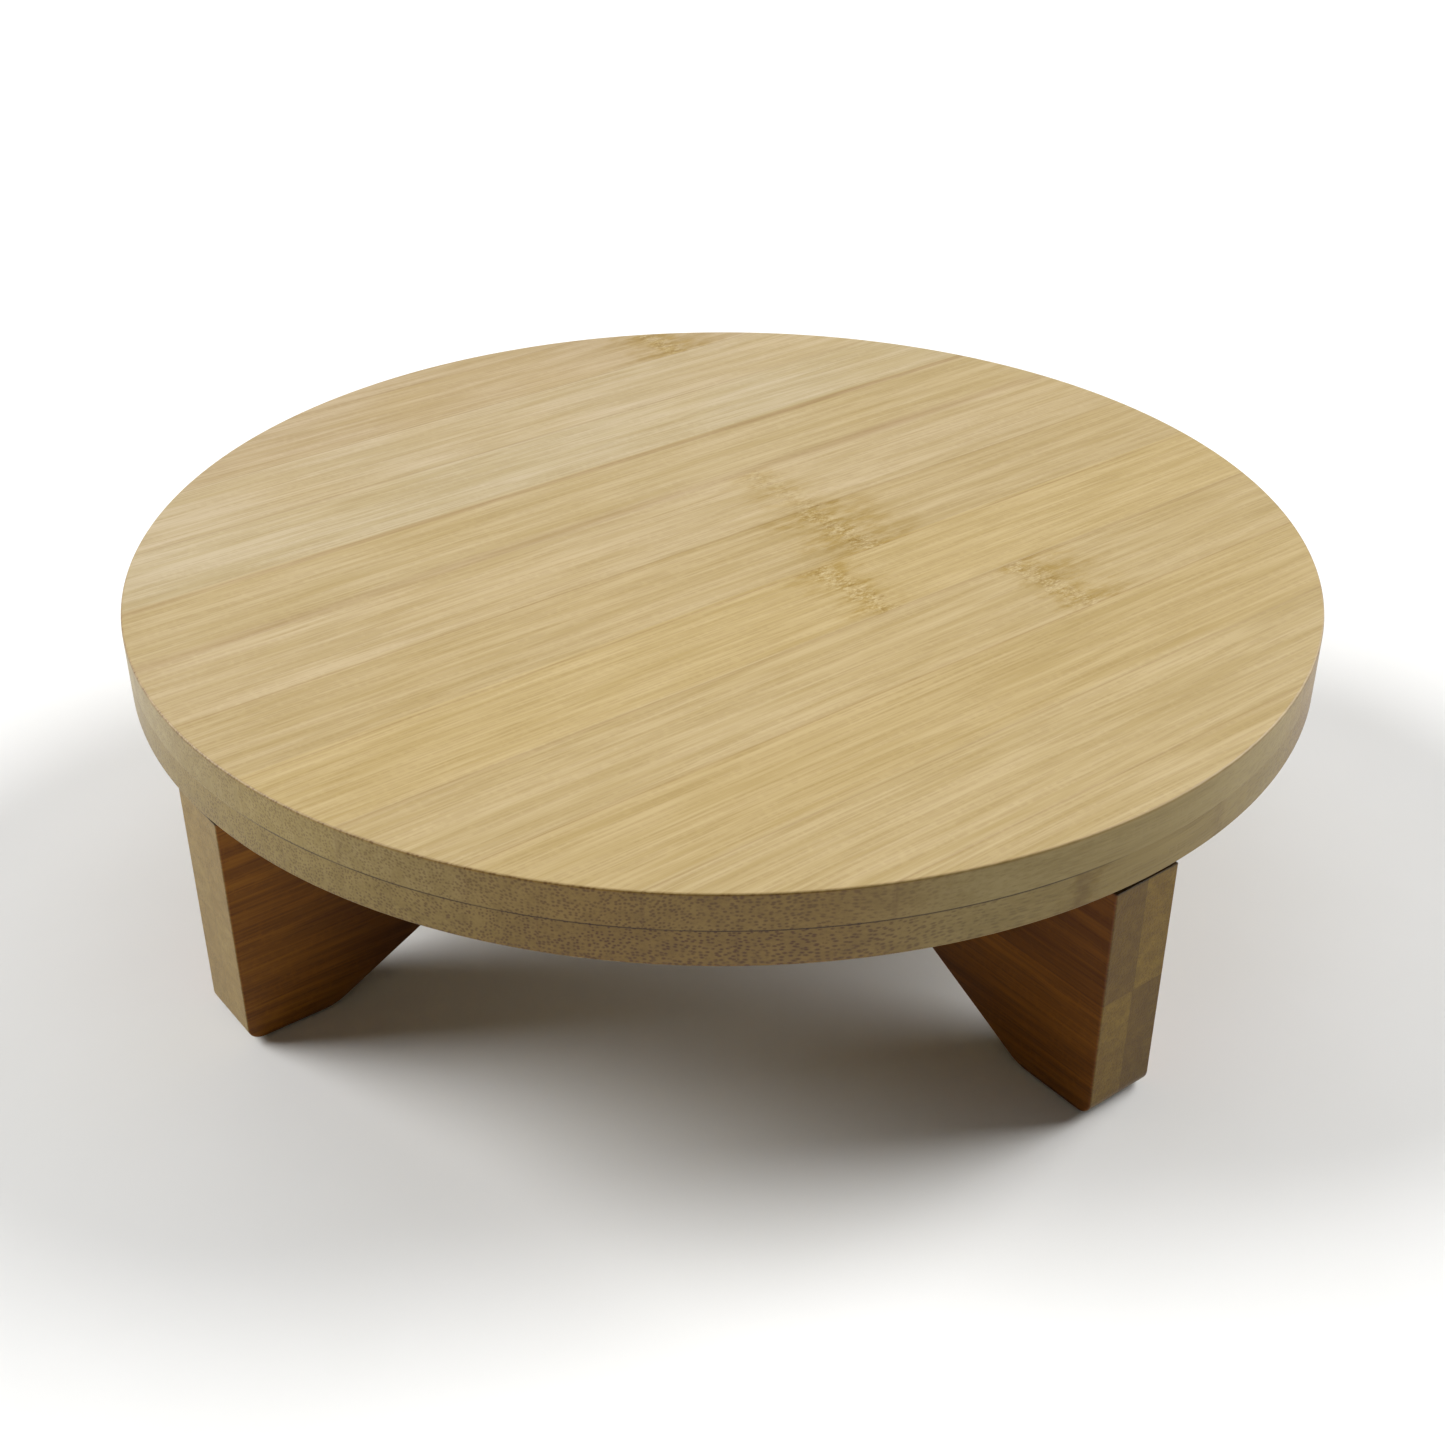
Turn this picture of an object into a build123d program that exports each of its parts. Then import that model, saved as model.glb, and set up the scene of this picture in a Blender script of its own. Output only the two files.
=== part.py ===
"""Bamboo lazy susan: a round two-ply board that turns on a ring bearing over a halved cross of two planks.

Units are millimetres. +Z is up, and the origin is on the table, under the middle of the board.
The x plank runs along X and the y plank along Y, and each plank's two ends are two of the four legs.
"""

from build123d import *
import math
import os

# ---- Driving dimensions -------------------------------------------------------------------------
# The board
BOARD_DIAMETER = 250.0
BOARD_PLY_THICKNESS = 7.5
# The halved cross
PLANK_PLY_THICKNESS = 8.0
PLANK_HEIGHT = 52.4
END_INSET = 1.25  # from the board's rim in to a plank's end
FOOT_LENGTH = 19.0
SLOPE_RUN_PER_RISE = 2.0  # the underside of a plank rises from each foot at 1 in 2
WEB_RISE = 27.0  # from the foot's face up to the level underside in the middle
FOOT_TOE_RADIUS = 3.0
FOOT_HEEL_RADIUS = 10.0
WEB_BEND_RADIUS = 18.0
HALVING_CLEARANCE = 0.05
# Finish of the bamboo pieces
BOARD_ARRIS_RADIUS = 0.5
PLANK_ARRIS_RADIUS = 0.4
SEAM_CHAMFER = 0.1  # leaves a fine V round the board, where its plies meet
# Anti-slip pads, each set in a shallow bore in its foot
PAD_DIAMETER = 8.0
PAD_THICKNESS = 1.5
PAD_STANDOUT = 0.5
PAD_EDGE_RADIUS = 0.25
PAD_BORE_CLEARANCE = 0.05
# The ring bearing
RUNNING_GAP = 1.6  # from the planks' top edges up to the board
BEARING_HEIGHT = 7.0
RACE_HEIGHT = 6.2
RACE_WALL = 4.25
FLANGE_WIDTH = 7.0
FLANGE_THICKNESS = 2.5
BALL_CIRCLE_RADIUS = 48.0
BALL_RADIUS = 1.75
BALL_COUNT = 36
RACEWAY_CLEARANCE = 0.05
RACE_GAP = 1.5  # between the two race walls, where the cage runs
RACE_CHAMFER = 0.4
CAGE_THICKNESS = 0.8
CAGE_HEIGHT = 5.0
CAGE_POCKET_RADIUS = 1.85
RECESS_CLEARANCE = 1.5
# Countersunk wood screws
SCREWS_PER_RACE = 4
SCREW_RADIUS = 1.6
SCREW_CORE_RADIUS = 1.2
SCREW_HEAD_RADIUS = 3.0
SCREW_HEAD_HEIGHT = SCREW_HEAD_RADIUS - SCREW_CORE_RADIUS  # a 90 degree head
SCREW_THREAD_PITCH = 1.5
SCREW_POINT_LENGTH = 2.0
SCREW_HOLE_RADIUS = 1.8
SCREW_SINK_RADIUS = 3.05
SCREW_SINK_ANGLE = 90.0
PILOT_RADIUS = 1.65
BASE_SCREW_LENGTH = 14.0
BOARD_SCREW_LENGTH = 9.5
DRIVE_WIDTH = 0.8
DRIVE_LENGTH = 3.4
DRIVE_DEPTH = 1.2

# ---- Levels and radii that follow ---------------------------------------------------------------
BOARD_RADIUS = BOARD_DIAMETER / 2
PLANK_HALF_LENGTH = BOARD_RADIUS - END_INSET
FOOT_Z = PAD_STANDOUT
PLANK_TOP_Z = FOOT_Z + PLANK_HEIGHT
WEB_Z = FOOT_Z + WEB_RISE
HALVING_Z = (WEB_Z + PLANK_TOP_Z) / 2
BOARD_Z = PLANK_TOP_Z + RUNNING_GAP
SEAM_Z = BOARD_Z + BOARD_PLY_THICKNESS
BEARING_TOP_Z = PLANK_TOP_Z + BEARING_HEIGHT
BALL_Z = PLANK_TOP_Z + BEARING_HEIGHT / 2
FIXED_WALL_RADIUS = BALL_CIRCLE_RADIUS + RACE_GAP / 2
FIXED_FLANGE_RADIUS = FIXED_WALL_RADIUS + RACE_WALL + FLANGE_WIDTH
FIXED_SCREW_RADIUS = FIXED_FLANGE_RADIUS - FLANGE_WIDTH / 2
TURNING_WALL_RADIUS = BALL_CIRCLE_RADIUS - RACE_GAP / 2
TURNING_FLANGE_RADIUS = TURNING_WALL_RADIUS - RACE_WALL - FLANGE_WIDTH
TURNING_SCREW_RADIUS = TURNING_FLANGE_RADIUS + FLANGE_WIDTH / 2
RECESS_RADIUS = FIXED_FLANGE_RADIUS + RECESS_CLEARANCE
# The base screws stand to one side of the planks' glue lines, in the middle of one ply.
BASE_SCREW_ANGLE = math.degrees(math.asin(PLANK_PLY_THICKNESS / 2 / FIXED_SCREW_RADIUS))
# The board's screws come up through the open corners of the cross.
BOARD_SCREW_ANGLE = 45.0
PAD_CENTRE_RADIUS = PLANK_HALF_LENGTH - (FOOT_LENGTH + FOOT_TOE_RADIUS) / 2

BASE_SCREW_PLANE = Plane.XY.offset(PLANK_TOP_Z + FLANGE_THICKNESS)
BOARD_SCREW_PLANE = Plane(
    origin=(0, 0, BEARING_TOP_Z - FLANGE_THICKNESS), x_dir=(1, 0, 0), z_dir=(0, 0, -1)
)


def base_screw_places():
    """Where the four base screws stand, seen from above."""
    return PolarLocations(FIXED_SCREW_RADIUS, SCREWS_PER_RACE, start_angle=BASE_SCREW_ANGLE)


def board_screw_places():
    """Where the four board screws stand, seen from below."""
    return PolarLocations(TURNING_SCREW_RADIUS, SCREWS_PER_RACE, start_angle=BOARD_SCREW_ANGLE)


def save(piece, name):
    """Labels a finished piece and writes it as its own STEP file."""
    piece.label = name
    export_step(piece, f"parts/{name}.step")


# ---- The board ----------------------------------------------------------------------------------
def board_upper_ply():
    with BuildPart() as ply:
        with BuildSketch(Plane.XY.offset(SEAM_Z)):
            Circle(BOARD_RADIUS)
        extrude(amount=BOARD_PLY_THICKNESS)
        rims = ply.edges().filter_by(GeomType.CIRCLE).sort_by(Axis.Z)
        fillet(rims[-1], BOARD_ARRIS_RADIUS)
        chamfer(ply.edges().filter_by(GeomType.CIRCLE).sort_by(Axis.Z)[0], SEAM_CHAMFER)
        with Locations(BOARD_SCREW_PLANE):
            with board_screw_places():
                Cylinder(
                    PILOT_RADIUS,
                    BOARD_SCREW_LENGTH,
                    align=(Align.CENTER, Align.CENTER, Align.MAX),
                    mode=Mode.SUBTRACT,
                )
    return ply.part


def board_lower_ply():
    with BuildPart() as ply:
        with BuildSketch(Plane.XY.offset(BOARD_Z)):
            Circle(BOARD_RADIUS)
        extrude(amount=BOARD_PLY_THICKNESS)
        fillet(ply.edges().filter_by(GeomType.CIRCLE).sort_by(Axis.Z)[0], BOARD_ARRIS_RADIUS)
        chamfer(ply.edges().filter_by(GeomType.CIRCLE).sort_by(Axis.Z)[-1], SEAM_CHAMFER)
        with BuildSketch(Plane.XY.offset(BOARD_Z)):
            Circle(RECESS_RADIUS)
        extrude(amount=BEARING_TOP_Z - BOARD_Z, mode=Mode.SUBTRACT)
        with Locations(BOARD_SCREW_PLANE):
            with board_screw_places():
                Cylinder(
                    PILOT_RADIUS,
                    BOARD_SCREW_LENGTH,
                    align=(Align.CENTER, Align.CENTER, Align.MAX),
                    mode=Mode.SUBTRACT,
                )
    return ply.part


# ---- The halved cross ---------------------------------------------------------------------------
def plank_outline():
    """A plank seen from the side: a foot at each end, and a level web between two slopes."""
    heel = PLANK_HALF_LENGTH - FOOT_LENGTH
    web_half = heel - SLOPE_RUN_PER_RISE * WEB_RISE
    with BuildSketch() as outline:
        with BuildLine():
            half = Polyline(
                (0, PLANK_TOP_Z),
                (PLANK_HALF_LENGTH, PLANK_TOP_Z),
                (PLANK_HALF_LENGTH, FOOT_Z),
                (heel, FOOT_Z),
                (web_half, WEB_Z),
                (0, WEB_Z),
            )
            mirror(half, about=Plane.YZ)
        make_face()
        corners = outline.vertices().filter_by(lambda v: v.Y < PLANK_TOP_Z - 1)
        toes = corners.filter_by(lambda v: abs(v.X) > heel + 1)
        fillet(toes, FOOT_TOE_RADIUS)
        heels = outline.vertices().filter_by(lambda v: abs(abs(v.X) - heel) < 1 and v.Y < WEB_Z)
        fillet(heels, FOOT_HEEL_RADIUS)
        bends = outline.vertices().filter_by(lambda v: abs(abs(v.X) - web_half) < 1)
        fillet(bends, WEB_BEND_RADIUS)
    return outline.sketch


def plank_ply(along_x, side):
    """One ply of a plank. side is +1 or -1, the side of the plank's glue line that it is on."""
    # A sketch's own x follows the plank and its own y is up, so its normal points across the plank.
    across = Vector(0, -1, 0) if along_x else Vector(1, 0, 0)
    length = Vector(1, 0, 0) if along_x else Vector(0, 1, 0)
    mid_plane = Plane(origin=(0, 0, 0), x_dir=length, z_dir=across)
    outline = plank_outline()
    with BuildPart() as ply:
        with BuildSketch(mid_plane):
            add(outline)
        extrude(amount=side * PLANK_PLY_THICKNESS)
        across_axis = Axis((0, 0, 0), across * side)
        outer_face = ply.faces().sort_by(across_axis)[-1]
        fillet(outer_face.edges(), PLANK_ARRIS_RADIUS)
        # The x plank is halved from above and the y plank from below.
        slot_low, slot_high = (HALVING_Z, PLANK_TOP_Z + 1) if along_x else (WEB_Z - 1, HALVING_Z)
        slot_width = 2 * (PLANK_PLY_THICKNESS + HALVING_CLEARANCE)
        with BuildSketch(Plane.XY.offset(slot_low)):
            Rectangle(
                slot_width if along_x else 4 * PLANK_PLY_THICKNESS,
                4 * PLANK_PLY_THICKNESS if along_x else slot_width,
            )
        extrude(amount=slot_high - slot_low, mode=Mode.SUBTRACT)
        with Locations(BASE_SCREW_PLANE):
            with base_screw_places():
                Cylinder(
                    PILOT_RADIUS,
                    BASE_SCREW_LENGTH,
                    align=(Align.CENTER, Align.CENTER, Align.MAX),
                    mode=Mode.SUBTRACT,
                )
        with BuildSketch(Plane.XY.offset(FOOT_Z)):
            with PolarLocations(PAD_CENTRE_RADIUS, 4):
                Circle(PAD_DIAMETER / 2 + PAD_BORE_CLEARANCE)
        extrude(amount=PAD_THICKNESS - PAD_STANDOUT, mode=Mode.SUBTRACT)
    return ply.part


def anti_slip_pad(angle):
    """A round silicone pad under the foot at that angle from +X."""
    x = PAD_CENTRE_RADIUS * math.cos(math.radians(angle))
    y = PAD_CENTRE_RADIUS * math.sin(math.radians(angle))
    with BuildPart() as pad:
        with BuildSketch(Plane.XY):
            with Locations((x, y)):
                Circle(PAD_DIAMETER / 2)
        extrude(amount=PAD_THICKNESS)
        fillet(pad.edges().filter_by(GeomType.CIRCLE).sort_by(Axis.Z)[0], PAD_EDGE_RADIUS)
    return pad.part


# ---- The ring bearing ---------------------------------------------------------------------------
def race_section(wall_low_radius, wall_z, flange_low_radius, flange_z):
    """A race's cross-section: an upright wall, a flange, eased corners and the raceway's groove."""
    with BuildSketch() as section:
        with Locations((wall_low_radius, wall_z)):
            Rectangle(RACE_WALL, RACE_HEIGHT, align=(Align.MIN, Align.MIN))
        with Locations((flange_low_radius, flange_z)):
            Rectangle(FLANGE_WIDTH, FLANGE_THICKNESS, align=(Align.MIN, Align.MIN))
        chamfer(section.vertices(), RACE_CHAMFER)
        with Locations((BALL_CIRCLE_RADIUS, BALL_Z)):
            Circle(BALL_RADIUS + RACEWAY_CLEARANCE, mode=Mode.SUBTRACT)
    return section.sketch


def fixed_race():
    section = race_section(
        FIXED_WALL_RADIUS, PLANK_TOP_Z, FIXED_WALL_RADIUS + RACE_WALL, PLANK_TOP_Z
    )
    with BuildPart() as race:
        with BuildSketch(Plane.XZ):
            add(section)
        revolve(axis=Axis.Z)
        with Locations(BASE_SCREW_PLANE):
            with base_screw_places():
                CounterSinkHole(
                    SCREW_HOLE_RADIUS,
                    SCREW_SINK_RADIUS,
                    depth=FLANGE_THICKNESS,
                    counter_sink_angle=SCREW_SINK_ANGLE,
                )
    return race.part


def turning_race():
    section = race_section(
        TURNING_WALL_RADIUS - RACE_WALL,
        BEARING_TOP_Z - RACE_HEIGHT,
        TURNING_FLANGE_RADIUS,
        BEARING_TOP_Z - FLANGE_THICKNESS,
    )
    with BuildPart() as race:
        with BuildSketch(Plane.XZ):
            add(section)
        revolve(axis=Axis.Z)
        with Locations(BOARD_SCREW_PLANE):
            with board_screw_places():
                CounterSinkHole(
                    SCREW_HOLE_RADIUS,
                    SCREW_SINK_RADIUS,
                    depth=FLANGE_THICKNESS,
                    counter_sink_angle=SCREW_SINK_ANGLE,
                )
    return race.part


def ball_cage():
    """A thin nylon hoop that keeps the balls apart."""
    with BuildPart() as cage:
        with BuildSketch(Plane.XY.offset(BALL_Z - CAGE_HEIGHT / 2)):
            Circle(BALL_CIRCLE_RADIUS + CAGE_THICKNESS / 2)
            Circle(BALL_CIRCLE_RADIUS - CAGE_THICKNESS / 2, mode=Mode.SUBTRACT)
        extrude(amount=CAGE_HEIGHT)
        with Locations(Plane.XY.offset(BALL_Z)):
            with PolarLocations(BALL_CIRCLE_RADIUS, BALL_COUNT):
                Cylinder(
                    CAGE_POCKET_RADIUS,
                    2 * CAGE_THICKNESS,
                    rotation=(0, 90, 0),
                    mode=Mode.SUBTRACT,
                )
    return cage.part


def bearing_balls():
    with BuildPart() as balls:
        with Locations(Plane.XY.offset(BALL_Z)):
            with PolarLocations(BALL_CIRCLE_RADIUS, BALL_COUNT):
                Sphere(BALL_RADIUS)
    return balls.part


# ---- Screws -------------------------------------------------------------------------------------
def wood_screw(length):
    """A countersunk wood screw. Its head's face is at z 0 and it points down."""
    thread_top = -SCREW_HEAD_HEIGHT - SCREW_THREAD_PITCH
    thread_bottom = -length + SCREW_POINT_LENGTH
    turns = int((thread_top - thread_bottom) / SCREW_THREAD_PITCH)
    outline = [
        (0, 0),
        (SCREW_HEAD_RADIUS, 0),
        (SCREW_CORE_RADIUS, -SCREW_HEAD_HEIGHT),
        (SCREW_CORE_RADIUS, thread_top),
    ]
    for turn in range(turns):
        crest = thread_top - (turn + 0.5) * SCREW_THREAD_PITCH
        root = thread_top - (turn + 1) * SCREW_THREAD_PITCH
        outline.append((SCREW_RADIUS, crest))
        outline.append((SCREW_CORE_RADIUS, root))
    outline.append((0, -length))
    with BuildPart() as screw:
        with BuildSketch(Plane.XZ):
            with BuildLine():
                Polyline(*outline, close=True)
            make_face()
        revolve(axis=Axis.Z)
        with BuildSketch(Plane.XY):
            Rectangle(DRIVE_LENGTH, DRIVE_WIDTH)
            Rectangle(DRIVE_WIDTH, DRIVE_LENGTH)
        extrude(amount=-DRIVE_DEPTH, mode=Mode.SUBTRACT)
    return screw.part


def base_screws():
    one = wood_screw(BASE_SCREW_LENGTH)
    with BuildPart() as screws:
        with Locations(BASE_SCREW_PLANE):
            with base_screw_places():
                add(one)
    return screws.part


def board_screws():
    one = wood_screw(BOARD_SCREW_LENGTH)
    with BuildPart() as screws:
        with Locations(BOARD_SCREW_PLANE):
            with board_screw_places():
                add(one)
    return screws.part


# ---- Write every piece --------------------------------------------------------------------------
os.makedirs("parts", exist_ok=True)
save(board_upper_ply(), "board_upper_ply")
save(board_lower_ply(), "board_lower_ply")
save(plank_ply(True, 1), "x_plank_front_ply")
save(plank_ply(True, -1), "x_plank_back_ply")
save(plank_ply(False, 1), "y_plank_right_ply")
save(plank_ply(False, -1), "y_plank_left_ply")
for place, pad_angle in (("right", 0), ("back", 90), ("left", 180), ("front", 270)):
    save(anti_slip_pad(pad_angle), f"{place}_foot_pad")
save(fixed_race(), "bearing_fixed_race")
save(turning_race(), "bearing_turning_race")
save(ball_cage(), "bearing_ball_cage")
save(bearing_balls(), "bearing_balls")
save(base_screws(), "base_screws")
save(board_screws(), "board_screws")
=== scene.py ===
"""Looks for the bamboo lazy susan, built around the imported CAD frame."""

import bmesh
import bpy
import math
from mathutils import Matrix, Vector


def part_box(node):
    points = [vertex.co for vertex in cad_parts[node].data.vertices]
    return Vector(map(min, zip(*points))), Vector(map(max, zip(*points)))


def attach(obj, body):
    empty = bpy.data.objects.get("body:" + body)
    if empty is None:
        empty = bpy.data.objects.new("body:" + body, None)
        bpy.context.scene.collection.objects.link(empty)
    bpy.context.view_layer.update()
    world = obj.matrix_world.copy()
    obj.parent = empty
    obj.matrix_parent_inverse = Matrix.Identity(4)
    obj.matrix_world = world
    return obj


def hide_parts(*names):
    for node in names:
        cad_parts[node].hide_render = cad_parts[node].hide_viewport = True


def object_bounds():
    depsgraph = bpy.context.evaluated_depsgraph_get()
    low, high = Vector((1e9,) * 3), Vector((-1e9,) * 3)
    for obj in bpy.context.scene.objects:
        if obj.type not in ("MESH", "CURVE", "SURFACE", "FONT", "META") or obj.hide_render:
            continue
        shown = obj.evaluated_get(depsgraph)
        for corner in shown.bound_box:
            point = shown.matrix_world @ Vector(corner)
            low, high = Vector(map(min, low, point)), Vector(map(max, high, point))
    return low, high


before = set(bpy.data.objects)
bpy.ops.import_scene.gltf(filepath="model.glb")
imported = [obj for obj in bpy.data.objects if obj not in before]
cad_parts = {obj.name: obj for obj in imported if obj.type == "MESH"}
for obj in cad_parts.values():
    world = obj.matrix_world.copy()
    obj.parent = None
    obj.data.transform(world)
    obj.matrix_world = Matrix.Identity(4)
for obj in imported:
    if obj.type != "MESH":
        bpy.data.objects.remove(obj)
cad_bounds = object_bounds()

MM = 0.001
LOW, HIGH = Vector(cad_bounds[0]), Vector(cad_bounds[1])
RADIUS = (HIGH.x - LOW.x) / 2
TOP_Z = HIGH.z
SEAM_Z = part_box("board_upper_ply")[0].z
BOARD_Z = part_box("board_lower_ply")[0].z
RECESS_TOP_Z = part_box("bearing_turning_race")[1].z
RECESS_CLEARANCE = 1.5 * MM
RECESS_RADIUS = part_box("bearing_fixed_race")[1].x + RECESS_CLEARANCE
PLANK_REACH, PLANK_HALF_WIDTH, PLANK_TOP_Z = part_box("x_plank_back_ply")[1]

# The camera, in board radii and degrees, seen from the middle of the board's top
CAMERA_AZIMUTH = -37.49
CAMERA_ELEVATION = 26.78
CAMERA_DISTANCE = 3.415
CAMERA_AIM_DROP = 0.363
CAMERA_LENS = 49.42

# The lights: azimuth from the camera's, elevation and spread, all in degrees, and strength
LIGHTS = {
    "back_light": (180, 62, 45, 0.55),
    "left_light": (-104, 32, 38, 3.7),
    "right_light": (118, 32, 38, 3.65),
}
BACKDROP_GLOW = 0.07
FLOOR_SIZE = 12

# The board's edges
RIM_SEGMENTS = 360
ARRIS_RADIUS = 0.5 * MM
SEAM_CHAMFER = 0.03 * MM


# ---- Colours ------------------------------------------------------------------------------------
def rgb(red, green, blue):
    """A colour given in sRGB, 0 to 255, as the linear one that the nodes use."""
    channels = [v / 255 for v in (red, green, blue)]
    return [v / 12.92 if v <= 0.04045 else ((v + 0.055) / 1.055) ** 2.4 for v in channels] + [1]


def dimmed(color, share):
    return [v * share for v in color[:3]] + [1]


LOWER_PLY_COLOR = rgb(171, 149, 101)
BOARD_CLOUD_COLOR = rgb(180, 158, 112)
PLANK_CLOUD_COLOR = rgb(172, 146, 98)
FLECK_COLOR = rgb(204, 188, 150)

# A shade is what a colour is multiplied by
FACE_FIBRE = rgb(206, 195, 140)
# The rim's shades: the bamboo's sawn tone with a browner painted shade, and the same tone with a
# paler, greyer painted sheen
RIM_TONE_AND_PAINTED_SHADE = rgb(198, 178, 117)
RIM_TONE_AND_PAINTED_SHEEN = rgb(212, 209, 177)
BUNDLE_SHADE = rgb(160, 124, 62)
JOINT_SHADE = rgb(176, 140, 96)
GLUE_SHADE = rgb(104, 78, 46)
EDGE_SHADE = rgb(232, 206, 150)
# Painted shadow on the planks' tops, in the narrow gap under the board
GAP_PAINTED_SHADOW = rgb(88, 64, 44)
# Painted shade on the planks, deeper towards the middle of the cross under the board
INWARD_PAINTED_SHADE = rgb(165, 153, 170)
FLECK_SHADE = rgb(184, 162, 116)
SCAR_SHADE = rgb(230, 220, 178)


# ---- Node graphs --------------------------------------------------------------------------------
class Graph:
    """A material's node tree, with one short call for each kind of node."""

    def __init__(self, name):
        self.material = bpy.data.materials.new(name)
        self.material.use_nodes = True
        self.tree = self.material.node_tree
        self.shader = self.tree.nodes["Principled BSDF"]

    def node(self, kind, inputs=(), **settings):
        node = self.tree.nodes.new(kind)
        for key, value in settings.items():
            setattr(node, key, value)
        for key, value in dict(inputs).items():
            self.feed(node.inputs[key], value)
        return node

    def feed(self, socket, value):
        if isinstance(value, bpy.types.NodeSocket):
            self.tree.links.new(value, socket)
        else:
            socket.default_value = value

    def math(self, operation, *values, clamp=False):
        node = self.node("ShaderNodeMath", operation=operation, use_clamp=clamp)
        for socket, value in zip(node.inputs, values):
            self.feed(socket, value)
        return node.outputs[0]

    def add(self, a, b):
        return self.math("ADD", a, b)

    def minus(self, a, b):
        return self.math("SUBTRACT", a, b)

    def times(self, a, b):
        return self.math("MULTIPLY", a, b)

    def larger(self, a, b):
        return self.math("MAXIMUM", a, b)

    def absolute(self, value):
        return self.math("ABSOLUTE", value)

    def centred(self, noise, amount):
        """A noise of 0 to 1 as a shift both ways, amount wide in all."""
        return self.times(self.minus(noise, 0.5), amount)

    def band(self, value, low, high):
        """0 below low and 1 above high, with a smooth step between. low may be above high."""
        inputs = {"Value": value, "From Min": low, "From Max": high}
        return self.node("ShaderNodeMapRange", inputs, interpolation_type="SMOOTHSTEP").outputs[0]

    def vector(self, x, y, z):
        return self.node("ShaderNodeCombineXYZ", {0: x, 1: y, 2: z}).outputs[0]

    def place(self):
        """The piece's own x, y and z in millimetres."""
        coordinates = self.node("ShaderNodeTexCoord").outputs["Object"]
        scaled = self.node(
            "ShaderNodeVectorMath", {0: coordinates, 1: (1 / MM,) * 3}, operation="MULTIPLY"
        )
        return self.node("ShaderNodeSeparateXYZ", {0: scaled.outputs[0]}).outputs

    def from_axis(self, place):
        """The distance from the upright axis, in millimetres."""
        x, y = place[0], place[1]
        return self.math("SQRT", self.add(self.times(x, x), self.times(y, y)))

    def noise(self, vector, detail=2.0, roughness=0.5):
        inputs = {"Vector": vector, "Scale": 1.0, "Detail": detail, "Roughness": roughness}
        return self.node("ShaderNodeTexNoise", inputs).outputs[0]

    def even_noise(self, place, per_mm, detail):
        """A noise with this many waves for each millimetre, every way."""
        return self.noise(self.vector(*[self.times(place[i], per_mm) for i in range(3)]), detail)

    def mix(self, factor, a, b, blend="MIX"):
        node = self.node("ShaderNodeMix", data_type="RGBA", blend_type=blend)
        self.feed(node.inputs[0], factor)
        self.feed(node.inputs[6], a)
        self.feed(node.inputs[7], b)
        return node.outputs[2]

    def shade(self, color, amount, dark):
        """color times dark, by the share amount."""
        return self.mix(amount, color, dark, "MULTIPLY")

    def bump(self, height, distance):
        inputs = {"Height": height, "Distance": distance, "Strength": 1.0}
        self.feed(self.shader.inputs["Normal"], self.node("ShaderNodeBump", inputs).outputs[0])

    def set(self, **values):
        for key, value in values.items():
            self.feed(self.shader.inputs[key.replace("_", " ")], value)


# ---- Bamboo -------------------------------------------------------------------------------------
# Strips, in mm: how wide they are, and where the joint before strip 0 is
BOARD_STRIP_WIDTH = 23.1
BOARD_STRIP_OFFSET = 1.7
PLANK_STRIP_WIDTH = 26.3
PLANK_STRIP_OFFSET = 1.2
# How far the lower ply's strips are shifted, as a share of their width
BOARD_STAGGER = 0.43
# What sets one ply's noises apart from the other's
PLY_SEED = 40.0
BUNDLES_PER_MM = 1.5
JOINT_HALF_WIDTH = 0.35
GLUE_HALF_WIDTH = 0.2
# Marks of culm nodes, in mm: how far their line wanders, their stain frays and their flecks reach
MARK_WANDER = 11.0
MARK_FRAY = 16.0
FLECK_REACH = 5.5
# How far from the middle of the cross the planks' painted shade under the board begins, and is
# darkest
INWARD_SHADE_START = 130.0
INWARD_SHADE_FULL = 88.0
# The glue line is plain on the side of the rim that faces this way, past these distances
GLUE_SIDE = (-0.68, -0.73)
GLUE_START = 94.0
GLUE_FULL = 106.0

# The top's strips, by number from the front, and their colours, each up to the next one's strip
BOARD_STRIPS = [
    (-6, rgb(181, 161, 120)),
    (-4, rgb(180, 159, 115)),
    (-3, rgb(182, 162, 122)),
    (-2, rgb(184, 163, 119)),
    (-1, rgb(181, 161, 122)),
    (0, rgb(185, 166, 131)),
    (1, rgb(183, 164, 127)),
    (2, rgb(187, 171, 141)),
    (3, rgb(187, 170, 140)),
    (4, rgb(182, 163, 133)),
]
# Where culm nodes cross the board: ply (1 is the top one), place along the grain, strip, stain to
# each side in mm, strength
BOARD_CULM_NODES = [
    (1, 26.0, 0, 10.0, 8.0, 0.55),
    (1, 24.0, -1, 12.0, 14.0, 0.85),
    (1, 8.5, -2, 7.0, 7.0, 0.9),
    (1, 42.5, -3, 5.0, 14.0, 0.9),
    (1, 58.0, 4, 11.0, 14.0, 0.95),
    (0, -17.0, -6, 3.0, 4.0, 1.2),
    (0, -18.0, -5, 3.0, 4.0, 1.2),
]
# Brown lines along the board: place across the grain, half width in mm, strength
BOARD_LINES = [
    (47.6, 1.4, 0.55),
    (25.6, 2.6, 0.45),
    (71.0, 0.7, 0.2),
    (-45.0, 0.7, 0.2),
    (-67.0, 0.6, 0.18),
]


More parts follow.
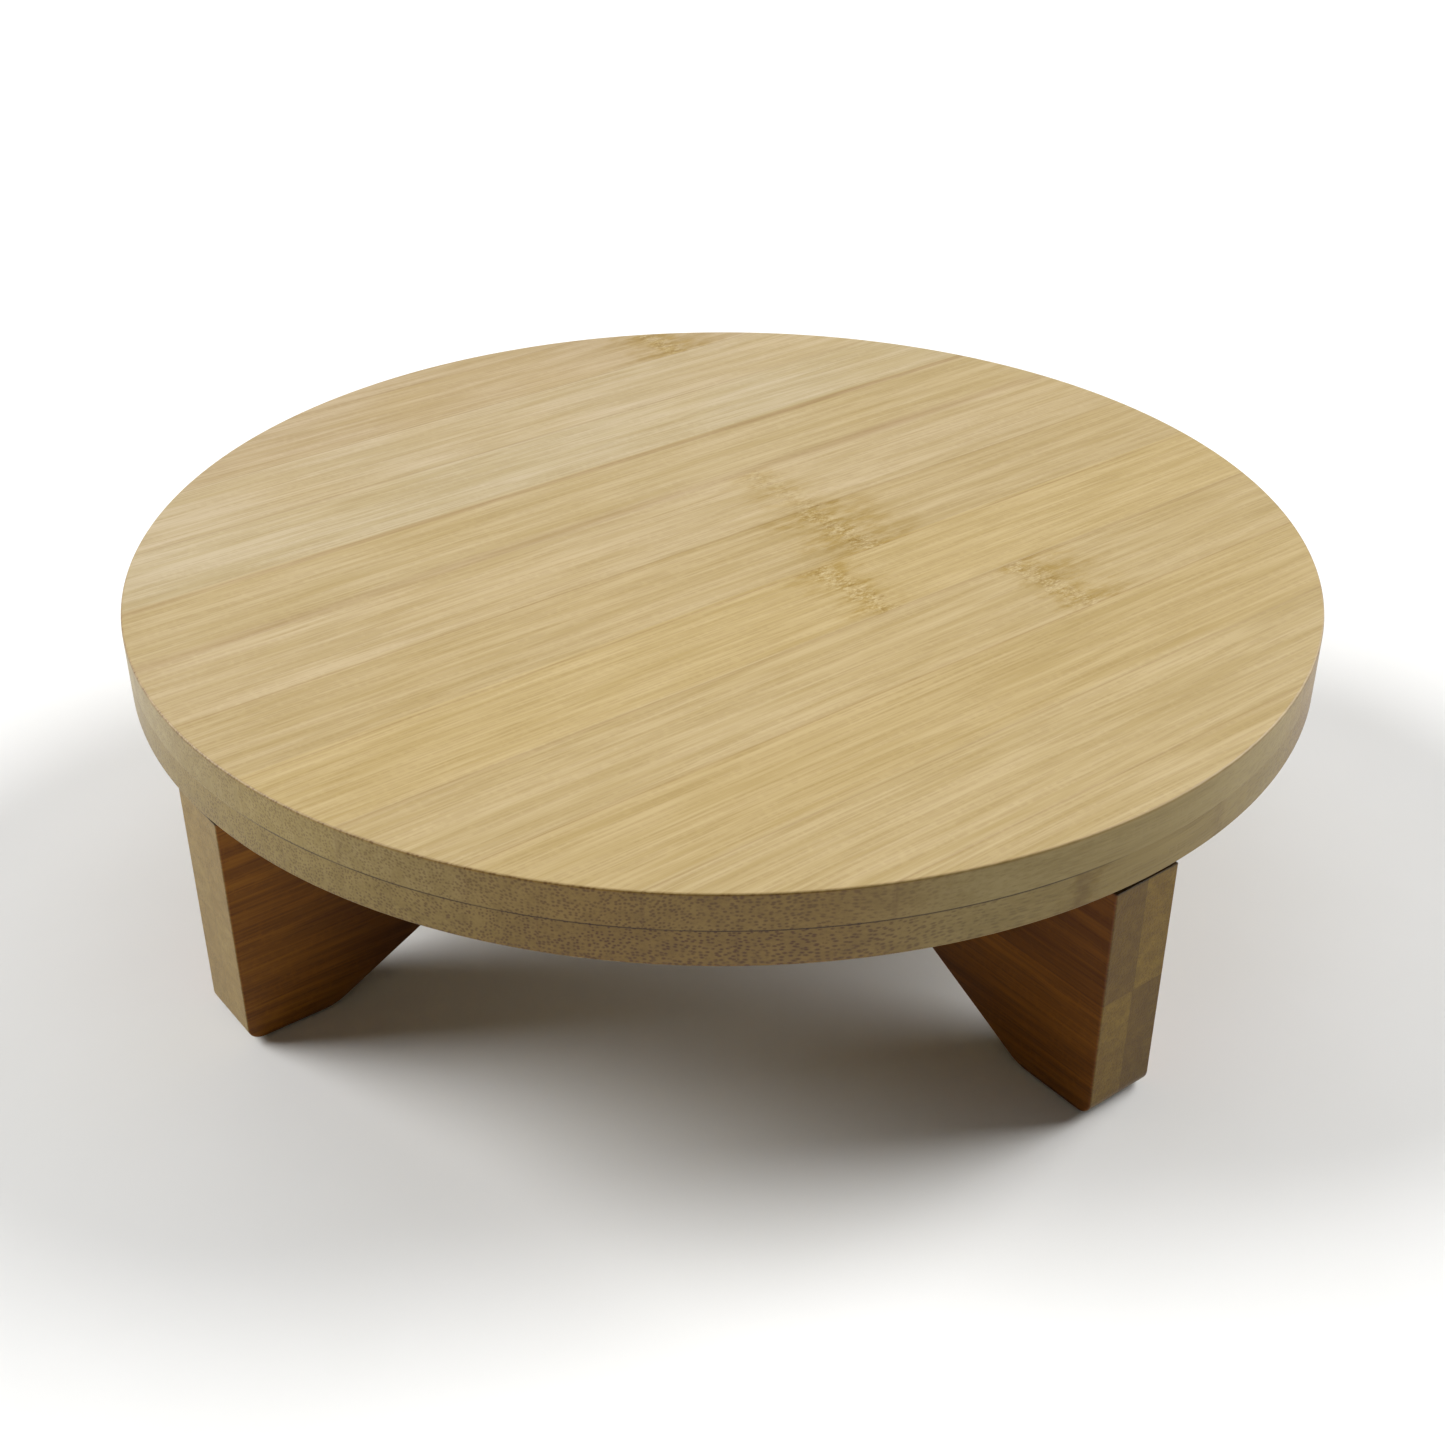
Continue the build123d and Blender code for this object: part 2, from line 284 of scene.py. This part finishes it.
class Bamboo:
    """Flat-pressed bamboo of two plies, as a solid texture. axes are the axes (0 to 2) along the
    fibres, across the strips and through the plies, which meet at seam, in mm along the last."""

    def __init__(self, name, axes, seam, ply_thickness, strip_width, strip_offset, stagger=0.0):
        self.g = g = Graph(name)
        self.place = g.place()
        self.a, self.b, self.c = [self.place[axis] for axis in axes]
        from_seam = g.minus(self.c, seam)
        self.ply = g.math("GREATER_THAN", from_seam, 0.0)
        self.glue_distance = g.absolute(from_seam)
        self.skin = g.math("DIVIDE", self.glue_distance, ply_thickness, clamp=True)

        # Which strip a point is in, a number that sets it apart, and how far its nearest joint is
        strips = g.math("DIVIDE", g.minus(self.b, strip_offset), strip_width)
        strips = g.add(strips, g.times(g.minus(1.0, self.ply), stagger))
        self.strip = g.math("FLOOR", strips)
        self.seed = g.add(self.strip, g.times(self.ply, PLY_SEED))
        self.joint_distance = g.times(g.math("PINGPONG", strips, 0.5), strip_width)

        # 1 on faces that aren't a ply's flat one (side), and on those that cut the fibres (sawn)
        normal = g.node("ShaderNodeSeparateXYZ", {0: g.node("ShaderNodeTexCoord").outputs["Normal"]})
        self.side = g.band(g.absolute(normal.outputs[axes[2]]), 0.9, 0.4)
        self.squareness = g.absolute(normal.outputs[axes[0]])
        least = g.add(0.08, g.times(self.ply, 0.15))
        self.sawn = g.band(self.squareness, least, g.add(least, 0.4))

        self.bundle = self.bundles()
        self.fine = g.noise(self.stretch(0.05, 1.8, 1.8), detail=4.0, roughness=0.6)
        self.cloud = g.noise(self.stretch(0.02, 0.03, 0.02, self.seed), detail=2.0)

    def stretch(self, along, across, through, shift=0.0):
        """Texture coordinates with these many units for each millimetre."""
        g = self.g
        through = g.times(self.c, through)
        return g.vector(g.times(self.a, along), g.add(g.times(self.b, across), shift), through)

    def bundles(self):
        """Vessel bundles: dots on sawn faces and threads on long ones, along wandering fibres.
        They are small and close together by the culm's skin, which faces out of the board."""
        g = self.g
        drift = g.vector(g.times(self.a, 0.012), g.times(self.b, 0.06), self.seed)
        drift = g.noise(drift, detail=1.0)
        wander_b = g.add(self.b, g.centred(drift, 4.0))
        wander_c = g.add(self.c, g.centred(drift, 7.0))
        inputs = {
            "Vector": g.vector(g.add(wander_b, self.seed), wander_c, 0.0),
            "Scale": BUNDLES_PER_MM,
            "Randomness": 0.8,
        }
        cells = g.node("ShaderNodeTexVoronoi", inputs, voronoi_dimensions="2D").outputs["Distance"]
        dash = g.band(g.noise(self.stretch(0.8, 0.5, 0.5)), 0.3, 0.55)
        return g.times(g.band(cells, g.add(0.4, g.times(self.skin, 0.16)), 0.14), dash)

    def fibres(self, contrast):
        """How much the fine fibres and the broader streaks darken each place."""
        g = self.g
        streak = g.noise(self.stretch(0.016, 0.4, 0.36, self.seed), detail=3.0)
        tone = g.add(g.times(self.fine, 0.5), g.times(streak, 0.5))
        return g.times(g.band(tone, 0.66, 0.36), contrast)

    def marks(self, color, culm_nodes):
        """Culm nodes cross a strip as a ragged line of pale flecks in a stain of browner fibres."""
        g = self.g
        ragged = g.noise(self.stretch(0.2, 0.3, 0.3), detail=4.0, roughness=0.6)
        fleck = g.noise(self.stretch(0.9, 1.9, 1.0), detail=4.0, roughness=0.7)
        tangle = g.noise(self.stretch(0.22, 0.6, 0.6), detail=4.0, roughness=0.6)
        fray = g.noise(self.stretch(0.07, 0.25, 0.25), detail=2.0)
        face = g.minus(1.0, self.side)
        for ply, at, strip, left, right, strength in culm_nodes:
            in_strip = g.math("COMPARE", self.strip, float(strip), 0.25)
            here = g.times(in_strip, g.math("COMPARE", self.ply, float(ply), 0.25))
            off = g.add(g.minus(self.a, at), g.centred(ragged, MARK_WANDER))
            reach = g.add(off, g.centred(fray, MARK_FRAY))
            stain = g.times(g.band(reach, -1.5 * left, 0.0), g.band(reach, 1.5 * right, 0.0))
            stain = g.times(g.times(stain, here), g.add(0.25, g.band(tangle, 0.36, 0.64)))
            color = g.shade(color, g.times(stain, strength), SCAR_SHADE)
            core = g.times(g.times(g.band(g.absolute(off), FLECK_REACH, 0.0), here), face)
            pale = g.times(core, g.band(fleck, 0.48, 0.68))
            dark = g.times(core, g.band(fleck, 0.5, 0.34))
            color = g.mix(g.times(pale, 0.6 * strength), color, FLECK_COLOR)
            color = g.shade(color, g.times(dark, 0.55 * strength), FLECK_SHADE)
        return color

    def lines(self, color, dark_lines=()):
        """Strips' joints: a faint line at each, and brown lines that come and go where listed."""
        g = self.g
        joint = g.times(g.band(self.joint_distance, JOINT_HALF_WIDTH, 0.05), 0.22)
        wavy = g.add(self.b, g.centred(g.noise(self.stretch(0.03, 0.0, 0.0)), 1.2))
        for at, width, strength in dark_lines:
            line = g.band(g.absolute(g.minus(wavy, at)), width, width * 0.2)
            fade = g.add(0.5, g.centred(g.noise(self.stretch(0.012, 0.0, 0.0, at)), 1.6))
            line = g.times(g.times(line, fade), strength)
            joint = g.math("MAXIMUM", joint, line, clamp=True)
        self.joint = joint
        return g.shade(color, joint, JOINT_SHADE)

    def finish(self, color, glue, edge, specular):
        """The glue line, by the share glue, lighter edges, and the surface's gloss and relief."""
        g = self.g
        glue_line = g.band(self.glue_distance, GLUE_HALF_WIDTH, 0.06)
        color = g.shade(color, g.times(glue_line, glue), GLUE_SHADE)
        color = g.shade(color, g.times(edge, 0.3), EDGE_SHADE)
        rough = g.minus(g.add(0.5, g.centred(self.fine, 0.2)), g.times(self.side, 0.12))
        height = g.minus(g.times(self.fine, 0.6), g.times(self.bundle, 0.35))
        height = g.minus(height, g.times(self.joint, 0.4))
        g.set(Base_Color=color, Roughness=rough, Specular_IOR_Level=specular)
        g.bump(height, 0.04 * MM)
        return g.material


def board_bamboo():
    """The board. Its strips' colours and marks are those of its top face."""
    seam, ply_thickness = SEAM_Z / MM, (TOP_Z - SEAM_Z) / MM
    strips = (BOARD_STRIP_WIDTH, BOARD_STRIP_OFFSET, BOARD_STAGGER)
    wood = Bamboo("bamboo_board", (0, 1, 2), seam, ply_thickness, *strips)
    g = wood.g
    fibre = wood.fibres(0.52)
    color = g.mix(wood.ply, LOWER_PLY_COLOR, top_strips(wood))
    color = g.mix(g.times(g.band(wood.cloud, 0.35, 0.7), 0.3), color, BOARD_CLOUD_COLOR)
    color = g.shade(color, fibre, FACE_FIBRE)
    # The rim's dots are stronger where it cuts the fibres slantwise. There the rim also gets a
    # browner painted shade, and elsewhere a paler, greyer painted sheen, for a shaded front and lit
    # sides
    slant_and_painted_shade = g.band(g.absolute(g.minus(wood.squareness, 0.62)), 0.35, 0.1)
    dots = g.add(g.add(0.46, g.times(slant_and_painted_shade, 0.3)), g.times(wood.ply, -0.14))
    dots = g.add(0.12, g.times(wood.sawn, dots))
    color = g.shade(color, g.times(wood.bundle, dots), BUNDLE_SHADE)
    # Painted shade and sheen on the rim: browner where it is cut slantwise, paler and greyer
    # elsewhere
    color = g.shade(color, wood.side, g.mix(slant_and_painted_shade, RIM_TONE_AND_PAINTED_SHEEN, RIM_TONE_AND_PAINTED_SHADE))
    color = wood.marks(color, BOARD_CULM_NODES)
    color = wood.lines(color, BOARD_LINES)
    return wood.finish(color, board_glue(wood), board_edges(wood), 0.35)


def top_strips(wood):
    """The colour of each of the top's strips, from the front to the back."""
    share = 0.5 * MM / RADIUS
    ramp = wood.g.node("ShaderNodeValToRGB", {0: wood.g.add(0.5, wood.g.times(wood.b, share))})
    ramp.color_ramp.interpolation = "CONSTANT"
    stops = ramp.color_ramp.elements
    while len(stops) < len(BOARD_STRIPS):
        stops.new(1.0)
    for stop, (number, color) in zip(stops, BOARD_STRIPS):
        joint_y = BOARD_STRIP_OFFSET + number * BOARD_STRIP_WIDTH
        stop.position = max(0.0, 0.5 + joint_y * share)
        stop.color = color
    return ramp.outputs[0]


def board_glue(wood):
    """The share of the glue line that shows: it is plain at one side, and patchy elsewhere."""
    g = wood.g
    facing = [g.times(wood.place[i], GLUE_SIDE[i]) for i in range(2)]
    squeeze_out = g.even_noise(wood.place, 0.05, 2.0)
    plain = g.times(g.band(g.add(*facing), GLUE_START, GLUE_FULL), g.band(squeeze_out, 0.2, 0.45))
    patchy = g.times(g.band(squeeze_out, 0.55, 0.7), 0.5)
    return g.add(0.1, g.times(g.larger(plain, patchy), 0.75))


def board_edges(wood):
    """1 on the rounded edges of the board, and 0 away from them."""
    g, z = wood.g, wood.place[2]
    near_rim = g.band(g.from_axis(wood.place), RADIUS / MM - 0.55, RADIUS / MM - 0.3)
    near_top = g.band(z, TOP_Z / MM - 0.8, TOP_Z / MM - 0.4)
    near_base = g.band(z, BOARD_Z / MM + 0.9, BOARD_Z / MM + 0.3)
    return g.times(near_rim, g.larger(near_top, near_base))


def plank_bamboo(name, grain, strip_colors, broad_face_painted_shade, sawn_shade, inward_shade_depth):
    """A plank along X (0) or Y (1). Its strips are of two colours. It gets painted shade on its
    broad faces, deeper towards the middle of the cross, and a painted shadow along its top.
    """
    strips = (PLANK_STRIP_WIDTH, PLANK_STRIP_OFFSET)
    wood = Bamboo(name, (grain, 2, 1 - grain), 0.0, PLANK_HALF_WIDTH / MM, *strips)
    g = wood.g
    fibre = g.times(wood.fibres(1.15), g.add(1.0, g.times(wood.sawn, -0.35)))
    alternate = g.math("ABSOLUTE", g.minus(wood.strip, wood.ply), clamp=True)
    color = g.mix(alternate, *strip_colors)
    color = g.mix(g.times(g.band(wood.cloud, 0.3, 0.7), 0.5), color, PLANK_CLOUD_COLOR)
    # Painted shade: the broad faces get a darker, browner shade than the ends and edges, for the
    # shade they are in under the board
    color = g.shade(color, 1.0, g.mix(wood.side, broad_face_painted_shade, sawn_shade))
    # Painted shade: the planks darken towards the middle of the cross, under the board
    from_middle = g.add(g.absolute(wood.a), g.centred(wood.cloud, 30.0))
    inward_shade = g.band(from_middle, INWARD_SHADE_START, INWARD_SHADE_FULL)
    color = g.shade(color, g.times(inward_shade, inward_shade_depth), INWARD_PAINTED_SHADE)
    color = g.shade(color, fibre, FACE_FIBRE)
    color = g.shade(color, g.times(wood.bundle, 0.3), BUNDLE_SHADE)
    color = wood.lines(color)
    # Painted shadow: the planks' tops and the last half millimetre of their sides below are
    # darkened, for the shade in the gap under the board
    top_z = PLANK_TOP_Z / MM
    gap_shadow = g.band(wood.place[2], top_z - 0.5, top_z - 0.1)
    color = g.shade(color, g.times(gap_shadow, 0.8), GAP_PAINTED_SHADOW)
    return wood.finish(color, 0.2, plank_edges(wood), 0.25)


def plank_edges(wood):
    """1 on the rounded edges of a plank's ends and top, and 0 away from them."""
    g = wood.g
    near = [
        g.band(distance, reach / MM - 0.8, reach / MM - 0.2)
        for distance, reach in (
            (g.absolute(wood.c), PLANK_HALF_WIDTH),
            (g.absolute(wood.a), PLANK_REACH),
            (wood.b, PLANK_TOP_Z),
        )
    ]
    return g.times(near[0], g.larger(near[1], near[2]))


# ---- Metal, nylon and silicone ------------------------------------------------------------------
def turned_metal(name, color, roughness):
    """Metal that was turned on a lathe: fine rings round the axis, and a few smears."""
    g = Graph(name)
    place = g.place()
    rings = g.vector(g.times(g.from_axis(place), 9.0), g.times(place[2], 9.0), 0.0)
    rings = g.noise(rings, detail=3.0)
    smear = g.even_noise(place, 0.08, 3.0)
    g.set(
        Base_Color=g.mix(g.band(smear, 0.3, 0.75), color, dimmed(color, 0.82)),
        Metallic=1.0,
        Roughness=g.add(roughness - 0.08, g.add(g.times(rings, 0.1), g.times(smear, 0.12))),
    )
    g.bump(rings, 0.02 * MM)
    return g.material


def bright_steel(name, color, roughness):
    """Plated or polished steel with faint stains."""
    g = Graph(name)
    stain = g.even_noise(g.place(), 0.9, 4.0)
    g.set(
        Base_Color=g.mix(g.band(stain, 0.35, 0.7), color, dimmed(color, 0.75)),
        Metallic=1.0,
        Roughness=g.add(roughness, g.times(stain, 0.14)),
    )
    g.bump(stain, 0.01 * MM)
    return g.material


def moulded(name, color, roughness, grain_per_mm, translucency):
    """Moulded nylon or silicone with a fine matt grain."""
    g = Graph(name)
    place = g.place()
    grain = g.even_noise(place, grain_per_mm, 3.0)
    cloud = g.even_noise(place, 0.12, 2.0)
    g.set(
        Base_Color=g.mix(cloud, color, dimmed(color, 0.86)),
        Roughness=g.add(roughness, g.centred(grain, 0.2)),
        Subsurface_Weight=translucency,
        Subsurface_Scale=1.0 * MM,
    )
    g.bump(grain, 0.03 * MM)
    return g.material


# ---- The board's plies --------------------------------------------------------------------------
def arc(centre_r, centre_z, radius, start, stop, steps=6):
    """Points (radius from the axis, height) on an arc, with its angles in degrees."""
    turns = [math.radians(start + (stop - start) * i / steps) for i in range(steps + 1)]
    return [(centre_r + radius * math.cos(t), centre_z + radius * math.sin(t)) for t in turns]


def ring(bm, radius, height):
    """A ring of vertices round the axis, or a single one on it."""
    if radius < 1e-9:
        return [bm.verts.new((0, 0, height))]
    turns = [2 * math.pi * i / RIM_SEGMENTS for i in range(RIM_SEGMENTS)]
    return [bm.verts.new((radius * math.cos(t), radius * math.sin(t), height)) for t in turns]


def lathe(name, outline):
    """Turns an outline of (radius, height) points, from axis to axis, into a closed mesh."""
    mesh = bpy.data.meshes.new(name)
    bm = bmesh.new()
    rings = [ring(bm, radius, height) for radius, height in outline]
    for lower, upper in zip(rings, rings[1:]):
        for i in range(RIM_SEGMENTS):
            j = (i + 1) % RIM_SEGMENTS
            corners = [lower[i % len(lower)], lower[j % len(lower)]]
            corners += [upper[j % len(upper)], upper[i % len(upper)]]
            bm.faces.new(list(dict.fromkeys(corners)))
    bmesh.ops.recalc_face_normals(bm, faces=bm.faces)
    for face in bm.faces:
        face.smooth = True
    for edge in bm.edges:
        edge.smooth = edge.calc_face_angle(0) < math.radians(25)
    bm.to_mesh(mesh)
    bm.free()
    piece = bpy.data.objects.new(name, mesh)
    bpy.context.scene.collection.objects.link(piece)
    return piece


def upper_ply(material):
    outline = [(0, SEAM_Z), (RADIUS - SEAM_CHAMFER, SEAM_Z), (RADIUS, SEAM_Z + SEAM_CHAMFER)]
    outline += arc(RADIUS - ARRIS_RADIUS, TOP_Z - ARRIS_RADIUS, ARRIS_RADIUS, 0, 90)
    outline += [(RADIUS * share, TOP_Z) for share in (0.75, 0.5, 0.25)] + [(0, TOP_Z)]
    board_piece("upper_ply_wood", outline, material, "board_upper_ply")


def lower_ply(material):
    outline = [(0, RECESS_TOP_Z), (RECESS_RADIUS, RECESS_TOP_Z), (RECESS_RADIUS, BOARD_Z)]
    outline += arc(RADIUS - ARRIS_RADIUS, BOARD_Z + ARRIS_RADIUS, ARRIS_RADIUS, -90, 0)
    outline += [(RADIUS, SEAM_Z - SEAM_CHAMFER), (RADIUS - SEAM_CHAMFER, SEAM_Z), (0, SEAM_Z)]
    board_piece("lower_ply_wood", outline, material, "board_lower_ply")


def board_piece(name, outline, material, node):
    piece = lathe(name, outline)
    piece.data.materials.append(material)
    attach(piece, "board")
    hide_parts(node)


def dress(nodes, material):
    """Gives CAD nodes a better material, in the slots that they have."""
    for node in nodes:
        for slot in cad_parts[node].material_slots:
            slot.material = material


# ---- Stage, lights and camera -------------------------------------------------------------------
def toward(azimuth, elevation):
    """The direction from the object to a place at that azimuth and elevation, in degrees."""
    a, e = math.radians(azimuth), math.radians(elevation)
    return Vector((math.sin(a) * math.cos(e), -math.cos(a) * math.cos(e), math.sin(e)))


def aim(obj, target):
    obj.rotation_euler = (target - obj.location).to_track_quat("-Z", "Y").to_euler()


def set_floor():
    g = Graph("pale_floor")
    speckle = g.even_noise(g.place(), 0.02, 3.0)
    g.set(Base_Color=g.mix(speckle, rgb(232, 232, 230), rgb(238, 238, 237)), Roughness=0.8)
    bpy.ops.mesh.primitive_plane_add(size=FLOOR_SIZE)
    floor = bpy.context.object
    floor.name = "floor"
    floor.data.materials.append(g.material)


def set_backdrop():
    """A white backdrop that lights the object only a little."""
    world = bpy.data.worlds.new("studio")
    world.use_nodes = True
    nodes, links = world.node_tree.nodes, world.node_tree.links
    nodes["Background"].inputs["Color"].default_value = (1, 1, 1, 1)
    seen = nodes.new("ShaderNodeLightPath").outputs["Is Camera Ray"]
    strength = nodes.new("ShaderNodeMapRange")
    strength.inputs["To Min"].default_value = BACKDROP_GLOW
    links.new(seen, strength.inputs["Value"])
    links.new(strength.outputs[0], nodes["Background"].inputs["Strength"])
    bpy.context.scene.world = world
    bpy.context.scene.view_settings.view_transform = "Standard"
    bpy.context.scene.view_settings.look = "None"


def soft_light(name, azimuth, elevation, spread, strength):
    """An even, far-off light, spread degrees wide. Its azimuth is counted from the camera's."""
    data = bpy.data.lights.new(name, "SUN")
    data.angle = math.radians(spread)
    data.energy = strength
    light = bpy.data.objects.new(name, data)
    bpy.context.scene.collection.objects.link(light)
    light.location = toward(CAMERA_AZIMUTH + azimuth, elevation)
    aim(light, Vector((0, 0, 0)))


def set_camera():
    data = bpy.data.cameras.new("camera")
    data.sensor_width = 36
    data.lens = CAMERA_LENS
    data.clip_start = 0.01
    camera = bpy.data.objects.new("camera", data)
    bpy.context.scene.collection.objects.link(camera)
    top = Vector((0, 0, TOP_Z))
    camera.location = top + toward(CAMERA_AZIMUTH, CAMERA_ELEVATION) * CAMERA_DISTANCE * RADIUS
    aim(camera, top - Vector((0, 0, CAMERA_AIM_DROP * RADIUS)))
    bpy.context.scene.camera = camera


set_floor()
set_backdrop()
for light_name, setting in LIGHTS.items():
    soft_light(light_name, *setting)
set_camera()

board_wood = board_bamboo()
upper_ply(board_wood)
lower_ply(board_wood)
# The x plank's broad faces are painted lighter than the y plank's, and its painted shade deepens
# more towards the middle: painted light on its outer end
x_strips = (rgb(190, 168, 118), rgb(182, 160, 110))
x_wood = plank_bamboo("bamboo_x_plank", 0, x_strips, rgb(217, 161, 53), rgb(205, 197, 164), 1.0)
dress(["x_plank_front_ply", "x_plank_back_ply"], x_wood)
# The y plank's ends are darker and browner than the x plank's: painted shade, as that end gets less
# light
y_strips = (rgb(196, 174, 124), rgb(160, 137, 92))
y_wood = plank_bamboo("bamboo_y_plank", 1, y_strips, rgb(188, 134, 47), rgb(175, 157, 75), 0.22)
dress(["y_plank_left_ply", "y_plank_right_ply"], y_wood)
race_metal = turned_metal("race_metal", rgb(205, 207, 210), 0.3)
dress(["bearing_fixed_race", "bearing_turning_race"], race_metal)
dress(["bearing_balls"], bright_steel("ball_steel", rgb(215, 216, 220), 0.06))
dress(["base_screws", "board_screws"], bright_steel("screw_metal", rgb(196, 196, 190), 0.24))
dress(["bearing_ball_cage"], moulded("cage_nylon", rgb(226, 222, 210), 0.5, 2.5, 0.15))
pads = [f"{place}_foot_pad" for place in ("right", "back", "left", "front")]
dress(pads, moulded("pad_silicone", rgb(196, 196, 192), 0.6, 4.0, 0.3))
